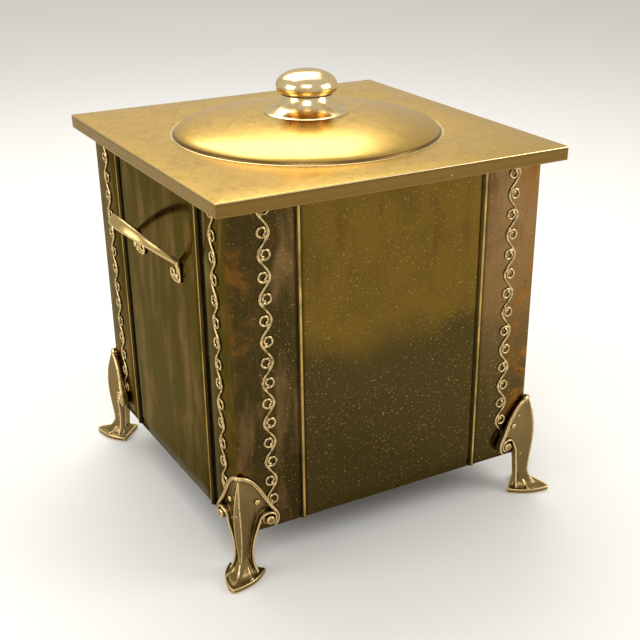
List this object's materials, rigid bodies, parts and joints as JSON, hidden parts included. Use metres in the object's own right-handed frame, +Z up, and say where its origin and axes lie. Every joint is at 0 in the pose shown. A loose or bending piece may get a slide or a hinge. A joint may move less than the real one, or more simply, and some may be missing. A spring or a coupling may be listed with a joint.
{
  "type": "coal scuttle",
  "caption": "Square lidded hearth coal box in sheet brass with a domed knobbed lid, cast bracket feet, side handles and scroll trim; the lid and inner liner lift out.",
  "frame": {"origin": "on the floor under the middle of the box", "axes": "+Z up, the front face looks along -Y, the handles are on the -X and +X sides"},
  "size_m": [0.4118, 0.3756, 0.4291],
  "materials": {
    "aged_sheet_brass": "aged polish",
    "polished_sheet_brass": "polished",
    "cast_brass": "satin casting",
    "stamped_brass": "satin",
    "blacked_sheet_steel": "matt black",
    "bright_steel": "bright zinc"
  },
  "bodies": {
    "box": {"body_shell": "aged_sheet_brass", "base_tray": "aged_sheet_brass", "foot_front_left": "cast_brass", "foot_front_right": "cast_brass", "foot_rear_right": "cast_brass", "foot_rear_left": "cast_brass", "handle_left": "cast_brass", "handle_right": "cast_brass", "rivet_foot_front_left_a": "cast_brass", "rivet_foot_front_left_b": "cast_brass", "rivet_foot_front_right_a": "cast_brass", "rivet_foot_front_right_b": "cast_brass", "rivet_foot_rear_right_a": "cast_brass", "rivet_foot_rear_right_b": "cast_brass", "rivet_foot_rear_left_a": "cast_brass", "rivet_foot_rear_left_b": "cast_brass", "rivet_handle_left_front": "cast_brass", "rivet_handle_left_rear": "cast_brass", "rivet_handle_right_front": "cast_brass", "rivet_handle_right_rear": "cast_brass", "scroll_front_a": "stamped_brass", "scroll_front_b": "stamped_brass", "scroll_right_a": "stamped_brass", "scroll_right_b": "stamped_brass", "scroll_rear_a": "stamped_brass", "scroll_rear_b": "stamped_brass", "scroll_left_a": "stamped_brass", "scroll_left_b": "stamped_brass"},
    "liner": {"liner": "blacked_sheet_steel"},
    "lid": {"lid_pressing": "polished_sheet_brass", "lid_hoop": "polished_sheet_brass", "knob": "polished_sheet_brass", "knob_stud": "bright_steel", "knob_washer": "bright_steel", "knob_nut": "bright_steel"}
  },
  "joints": [
    {"name": "liner_lift", "type": "slide", "parent": "box", "child": "liner", "axis": [0, 0, 1], "range_m": [0, 0.33]},
    {"name": "lid_lift", "type": "slide", "parent": "liner", "child": "lid", "axis": [0, 0, 1], "range_m": [0, 0.15]}
  ]
}
